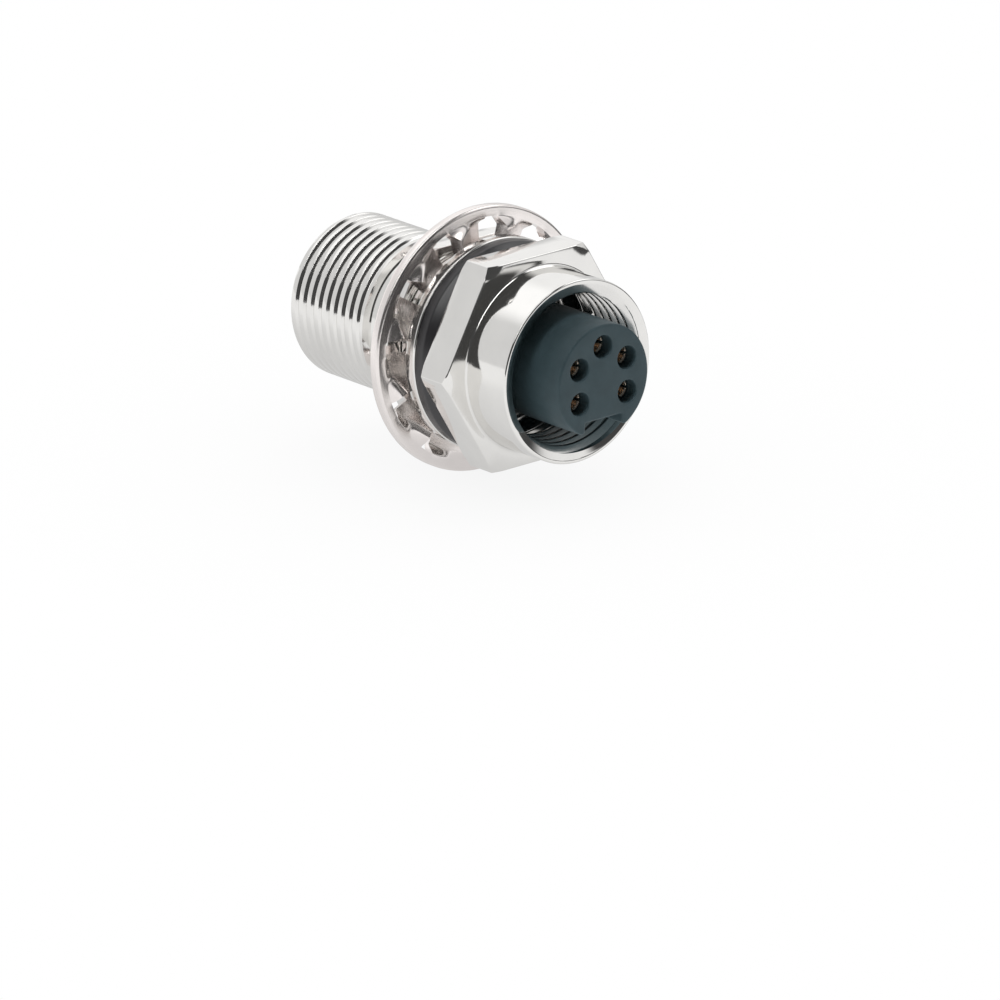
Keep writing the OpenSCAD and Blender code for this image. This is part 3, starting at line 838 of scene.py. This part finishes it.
def tooth_points(radii, twist, side, lift):
    """Points of a tooth as (along the axis, sideways, outwards): an arc of the radius, turned by the twist."""
    sideways = radii[:, None] * np.sin(side)
    outwards = radii[:, None] * np.cos(side)
    cos, sin = np.cos(twist)[:, None], np.sin(twist)[:, None]
    return np.stack(np.broadcast_arrays(
        lift * cos + sideways * sin, sideways * cos - lift * sin, outwards), axis=-1)


def placed_round(points, middle, centres):
    """Copies of a tooth's points around the axis, one at each centre's angle."""
    cos, sin = np.cos(centres)[:, None, None], np.sin(centres)[:, None, None]
    along, sideways, outwards = points[..., 0], points[..., 1], points[..., 2]
    y = outwards * cos - sideways * sin
    z = outwards * sin + sideways * cos
    return np.stack(np.broadcast_arrays(middle + along, y, z), axis=-1)


def lock_washer_blocks(clamp):
    """The lock washer: an outer ring, and teeth that twist as they leave it.

    A tooth's section is carried from the ring's inner edge to the tip. At radius r it is turned about the
    tooth's middle line by twist s^2 (3 - 2s), where s goes from 0 at the ring to 1 at the end of the root.
    """
    rear, front, ring_r = reach("lock_washer")
    middle = (rear + front) / 2
    inner_r = ring_r - clamp.ring_w
    tip_r = coupling_thread()[0] + clamp.washer_clear
    half = clamp.sheet / 2
    step = FULL_TURN / clamp.teeth
    start = math.pi / 2 + clamp.tooth_turn
    across = np.linspace(-clamp.tooth_span / 2, clamp.tooth_span / 2, TOOTH_POINTS)
    gap = np.linspace(clamp.tooth_span / 2, step - clamp.tooth_span / 2, GAP_POINTS)
    centres = start + step * np.arange(clamp.teeth)
    one_step = np.concatenate([across, gap[1:-1]])
    angles = (centres[:, None] + one_step).ravel()
    ring = turned(rounded(
        [(middle + half, inner_r), (middle + half, ring_r), (middle - half, ring_r), (middle - half, inner_r)],
        clamp.ring_edge), angles)

    levels = np.array([1, 0, -1]) * half
    gap_walls = around(middle + levels[None, :, None], inner_r, centres[:, None, None] + gap[None, None, :])

    radii = np.concatenate([inner_r - clamp.root_len * np.linspace(0, 1, ROOT_ROWS),
                            np.linspace(inner_r - clamp.root_len, tip_r, END_ROWS)[1:]])
    s = np.clip((inner_r - radii) / clamp.root_len, 0, 1)
    twist = clamp.tooth_twist * s ** 2 * (3 - 2 * s)
    side = np.concatenate([across, across[-1:], across[::-1], across[:1]])
    lift = np.concatenate([np.full(len(across), half), [0], np.full(len(across), -half), [0]])
    section = tooth_points(radii, twist, side, lift)
    teeth = placed_round(section, middle, centres)
    cap = tooth_points(np.full_like(levels, tip_r), np.full_like(levels, twist[-1]), across, levels[:, None])
    caps = placed_round(cap, middle, centres)
    return [tube(ring), sheet(gap_walls), *[tube(tooth) for tooth in teeth], sheet(caps)]


def jam_nut_blocks(clamp, thread, shell):
    """The jam nut: a bevelled hexagon with a thread cut through it."""
    rear, front, flat_r = reach("jam_nut")
    thread_r = coupling_thread()[0]
    angles = hex_angles(NUT_COLUMNS, flat_r, shell.hex_corner)
    root_r = thread_r + clamp.nut_play
    mouth_r = root_r + shell.edge
    crest_r = thread_r - thread.outer_depth + clamp.nut_play
    profile = thread_profile(thread, "outer")

    def nut_radius(x, depth):
        """The roots' radius less the ridge's depth, or the cones at both mouths where they are wider."""
        mouth = mouth_r - np.minimum(x - rear, front - x)
        return np.maximum(root_r - depth, np.maximum(mouth, crest_r))

    outside = hex_prism(rear, front, flat_r, shell.hex_corner, clamp.nut_bevel, shell.hex_edge, angles)
    mouths = turned([(front, mouth_r), (rear, mouth_r)], angles)
    return [
        tube(np.concatenate([mouths[:1], outside, mouths[1:]])),
        threaded(rear, front, thread.pitch, profile, nut_radius, angles),
    ]


def dress(node, slot):
    """Gives a solid that stays its slot's finish."""
    solid = frame["nodes"][node]
    solid.data.materials.clear()
    solid.data.materials.append(slot_finish(slot))


# Stage

# Steps that bound the room's zones: the part of the direction, where the step starts and where it is full
FRONT = ("X", -0.5, -0.3)
RAISED = ("Z", 0.05, 0.25)
RIGHT_REAR = (("Y", 0.4, 0.6), ("X", 0.1, -0.05))
# Zones of the room, each laid over the ones before it: its tone in the studio's settings, and its steps
ZONES = (
    ("right_screen", ("Y", 0.2, 0.45)),
    ("right_low", *RIGHT_REAR, ("Z", 0.28, 0.14)),
    ("right_screen", ("X", -0.84, -0.94)),
    ("dark", FRONT),
    ("right_low", ("Y", 0.58, 0.68), RAISED, FRONT),
    ("right_front", ("Y", 0.38, 0.54), RAISED, ("X", 0.2, 0.45)),
    ("ceiling", ("Z", 0.58, 0.72), ("X", -0.3, -0.5)),
    ("key", ("X", 0.0, 0.08), ("X", 0.30, 0.20), ("Z", 0.50, 0.65), ("Y", 0.25, 0.10)),
)
# The small soft box: where it hangs, and the cosines between which its edge fades
FILL_AIM, FILL_EDGE = (0.12, 0.62, 0.78), (0.955, 0.975)
# Height of the horizon behind, in front and behind at the right, and how soft it is
HORIZON, HORIZON_FRONT, HORIZON_RIGHT, HORIZON_BLUR = 0.02, -0.10, -0.35, 0.02
# The camera's tone of the floor and the background, samples of the contact shadow, and the sensor in millimetres
WHITE, SHADOW_SAMPLES, SENSOR_WIDTH = 1.0, 16, 36


def rises(tree, value, start, end):
    """A smooth step of a value between two places."""
    return add_node(tree, "ShaderNodeMapRange", {"Value": value, "From Min": start, "From Max": end},
                    interpolation_type="SMOOTHSTEP").outputs["Result"]


def both(tree, first, *masks):
    """The product of some masks."""
    for mask in masks:
        first = add_node(tree, "ShaderNodeMath", {0: first, 1: mask}, operation="MULTIPLY").outputs["Value"]
    return first


def towards(tree, direction, aim, start, end):
    """A mask around one direction of the room, by the cosine of the angle to it."""
    near = add_node(tree, "ShaderNodeVectorMath", {0: direction, 1: Vector(aim).normalized()},
                    operation="DOT_PRODUCT")
    return rises(tree, near.outputs["Value"], start, end)


def layered(tree, under, mask, over):
    """A tone laid over another one where a mask is set."""
    mix = add_node(tree, "ShaderNodeMix", {"Factor": mask, "A": under, "B": over}, data_type="FLOAT")
    return mix.outputs["Result"]


def add_floor(studio):
    """A flat white table top just under the lock washer.

    It ends close by in front and at the right. Its glow carries a painted contact shadow from ambient occlusion,
    which the camera sees faint. The metal sees it a little darker, with the painted shadow at its full depth and a
    wide round painted shade behind the gasket.
    """
    height = -reach("lock_washer")[2] - studio.floor_gap
    across, along = np.meshgrid([-studio.floor_left, studio.floor_right], [-studio.floor_rear, studio.floor_front])
    points, quads = sheet(np.stack([along, across, np.full_like(across, height)], axis=-1))
    mesh = bpy.data.meshes.new("floor")
    mesh.from_pydata(points, [], quads[:, ::-1].tolist())
    finish = bpy.data.materials.new("white_floor")
    finish.use_nodes = True
    tree = finish.node_tree
    tree.nodes.clear()
    # Painted contact shadow: ambient occlusion dims the floor's glow near the adapter
    near = add_node(tree, "ShaderNodeAmbientOcclusion", {"Distance": studio.shadow_reach},
                    samples=SHADOW_SAMPLES)
    seen = add_node(tree, "ShaderNodeLightPath").outputs["Is Camera Ray"]
    side = add_node(tree, "ShaderNodeNewGeometry")
    # Painted shade: the floor's glow is dimmed in a round patch behind the gasket, which no lamp casts
    middle = Vector((-studio.painted_shade_reach / 2, 0, height))
    apart = add_node(tree, "ShaderNodeVectorMath", {0: side.outputs["Position"], 1: middle}, operation="DISTANCE")
    behind = rises(tree, apart.outputs["Value"], studio.painted_shade_reach, 0)
    open_tone = layered(tree, layered(tree, studio.floor_tone, behind, studio.floor_painted_shade), seen, WHITE)
    shadow_tone = layered(tree, studio.floor_shadow, seen, studio.seen_shadow)
    shade = add_node(tree, "ShaderNodeMapRange", {"Value": near.outputs["AO"], "To Min": shadow_tone,
                                                  "To Max": open_tone})
    glow = add_node(tree, "ShaderNodeEmission", {"Color": (*studio.backdrop, 1),
                                                 "Strength": shade.outputs["Result"]})
    clear = add_node(tree, "ShaderNodeBsdfTransparent")
    mix = add_node(tree, "ShaderNodeMixShader", {"Fac": side.outputs["Backfacing"], 1: glow.outputs["Emission"],
                                                 2: clear.outputs["BSDF"]})
    add_node(tree, "ShaderNodeOutputMaterial", {"Surface": mix.outputs["Shader"]})
    mesh.materials.append(finish)
    floor = bpy.data.objects.new("floor", mesh)
    bpy.context.scene.collection.objects.link(floor)


def add_room(scene, studio):
    """The studio around the adapter as tones by direction.

    Pale screens stand behind it and in front at the right, a long soft box hangs over it from overhead down to the
    left, a small one hangs at the right, the rest of the front is dark, and the ground is white. The camera sees
    plain white.
    """
    world = bpy.data.worlds.new("studio")
    world.use_nodes = True
    scene.world = world
    tree = world.node_tree
    tree.nodes.clear()
    direction = add_node(tree, "ShaderNodeTexCoord").outputs["Generated"]
    parts = add_node(tree, "ShaderNodeSeparateXYZ", {"Vector": direction}).outputs

    def zone(*steps):
        """The product of a zone's steps."""
        return both(tree, *[rises(tree, parts[axis], start, end) for axis, start, end in steps])

    tone = studio.left_screen
    for name, *steps in ZONES:
        tone = layered(tree, tone, zone(*steps), getattr(studio, name))
    tone = layered(tree, tone, towards(tree, direction, FILL_AIM, *FILL_EDGE), studio.fill)
    horizon = layered(tree, layered(tree, HORIZON, zone(FRONT), HORIZON_FRONT), zone(*RIGHT_REAR), HORIZON_RIGHT)
    height = add_node(tree, "ShaderNodeMath", {0: parts["Z"], 1: horizon}, operation="SUBTRACT").outputs["Value"]
    tone = layered(tree, tone, rises(tree, height, HORIZON_BLUR, -HORIZON_BLUR), studio.floor_tone)
    seen = add_node(tree, "ShaderNodeLightPath").outputs["Is Camera Ray"]
    tone = layered(tree, tone, seen, WHITE)
    back = add_node(tree, "ShaderNodeBackground", {"Color": (*studio.backdrop, 1), "Strength": tone})
    add_node(tree, "ShaderNodeOutputWorld", {"Surface": back.outputs["Background"]})


def add_camera(scene, studio):
    """A long lens that looks at the front rim from the side and a little above."""
    rim = Vector((reach("shell")[1], 0, 0))
    azimuth, elevation = studio.azimuth, studio.elevation
    right = Vector((math.cos(azimuth), math.sin(azimuth), 0))
    back = Vector((math.sin(azimuth) * math.cos(elevation), -math.cos(azimuth) * math.cos(elevation),
                   math.sin(elevation)))
    turn = Matrix.Rotation(-studio.roll, 3, "X")
    right, back = turn @ right, turn @ back
    up = back.cross(right)
    place = rim - right * studio.aside - up * studio.above + back * studio.distance
    lens = bpy.data.cameras.new("camera")
    lens.lens = studio.lens
    lens.sensor_width = SENSOR_WIDTH
    camera = bpy.data.objects.new("camera", lens)
    camera.matrix_world = Matrix.Translation(place) @ Matrix((right, up, back)).transposed().to_4x4()
    scene.collection.objects.link(camera)
    scene.camera = camera


# Operators

class ADAPTER_OT_shell(bpy.types.Operator):
    """Build the shell with its flange and its threads"""
    bl_idname = "adapter.shell"
    bl_label = "Shell"

    def execute(self, context):
        adapter = context.scene.adapter
        add_piece("shell", "shell", "nickel", shell_blocks(adapter.shell, adapter.thread, adapter.inserts))
        return {"FINISHED"}


class ADAPTER_OT_inserts(bpy.types.Operator):
    """Build the socket insert and the pin insert"""
    bl_idname = "adapter.inserts"
    bl_label = "Inserts"

    def execute(self, context):
        adapter = context.scene.adapter
        add_piece("socket_insert", "shell", "carrier", socket_insert_blocks(adapter.inserts, adapter.shell))
        add_piece("pin_insert", "shell", "carrier",
                  pin_insert_blocks(adapter.inserts, adapter.contacts, adapter.shell))
        return {"FINISHED"}


class ADAPTER_OT_contacts(bpy.types.Operator):
    """Build the five double-ended contacts"""
    bl_idname = "adapter.contacts"
    bl_label = "Contacts"

    def execute(self, context):
        adapter = context.scene.adapter
        for node in CONTACTS:
            add_piece(node, "shell", "contact_gold", contact_blocks(node, adapter.contacts, adapter.inserts))
        return {"FINISHED"}


class ADAPTER_OT_gasket(bpy.types.Operator):
    """Build the panel gasket"""
    bl_idname = "adapter.gasket"
    bl_label = "Panel gasket"

    def execute(self, context):
        add_piece("panel_gasket", "shell", "seal_rubber", gasket_blocks(context.scene.adapter.clamp))
        return {"FINISHED"}


class ADAPTER_OT_washers(bpy.types.Operator):
    """Build the flat washer and the toothed lock washer"""
    bl_idname = "adapter.washers"
    bl_label = "Washers"

    def execute(self, context):
        clamp = context.scene.adapter.clamp
        add_piece("flat_washer", "washers", "nickel", flat_washer_blocks(clamp))
        add_piece("lock_washer", "washers", "plated_steel", lock_washer_blocks(clamp))
        return {"FINISHED"}


class ADAPTER_OT_nut(bpy.types.Operator):
    """Build the jam nut with its thread"""
    bl_idname = "adapter.nut"
    bl_label = "Jam nut"

    def execute(self, context):
        adapter = context.scene.adapter
        add_piece("jam_nut", "nut", "nickel", jam_nut_blocks(adapter.clamp, adapter.thread, adapter.shell))
        return {"FINISHED"}


class ADAPTER_OT_inner_seals(bpy.types.Operator):
    """Dress the seal ring and the potting disc, whose solids stay"""
    bl_idname = "adapter.inner_seals"
    bl_label = "Inner seals"

    def execute(self, context):
        dress("insert_seal", "seal_rubber")
        dress("potting_disc", "potting")
        return {"FINISHED"}


class ADAPTER_OT_stage(bpy.types.Operator):
    """Set up the floor, the light and the camera"""
    bl_idname = "adapter.stage"
    bl_label = "Studio"

    def execute(self, context):
        studio = context.scene.adapter.studio
        add_floor(studio)
        add_room(context.scene, studio)
        add_camera(context.scene, studio)
        context.scene.view_settings.view_transform = "Standard"
        return {"FINISHED"}


PIECES = (ADAPTER_OT_shell, ADAPTER_OT_inserts, ADAPTER_OT_contacts, ADAPTER_OT_gasket, ADAPTER_OT_washers,
          ADAPTER_OT_nut, ADAPTER_OT_inner_seals, ADAPTER_OT_stage)


class ADAPTER_PT_build(bpy.types.Panel):
    """Lists the adapter's pieces"""
    bl_idname = "ADAPTER_PT_build"
    bl_label = "Bulkhead adapter"
    bl_space_type = "VIEW_3D"
    bl_region_type = "UI"
    bl_category = "Adapter"

    def draw(self, context):
        for operator in PIECES:
            self.layout.operator(operator.bl_idname)


CLASSES = (AdapterThread, AdapterShell, AdapterInserts, AdapterContacts, AdapterClamp, AdapterFinishes,
           AdapterStudio, AdapterSettings, *PIECES, ADAPTER_PT_build)


def register():
    for cls in CLASSES:
        bpy.utils.register_class(cls)
    bpy.types.Scene.adapter = PointerProperty(type=AdapterSettings)


def unregister():
    del bpy.types.Scene.adapter
    for cls in reversed(CLASSES):
        bpy.utils.unregister_class(cls)


def main():
    register()
    bpy.ops.adapter.shell()
    bpy.ops.adapter.inserts()
    bpy.ops.adapter.contacts()
    bpy.ops.adapter.gasket()
    bpy.ops.adapter.washers()
    bpy.ops.adapter.nut()
    bpy.ops.adapter.inner_seals()
    bpy.ops.adapter.stage()


if __name__ == "__main__":
    main()
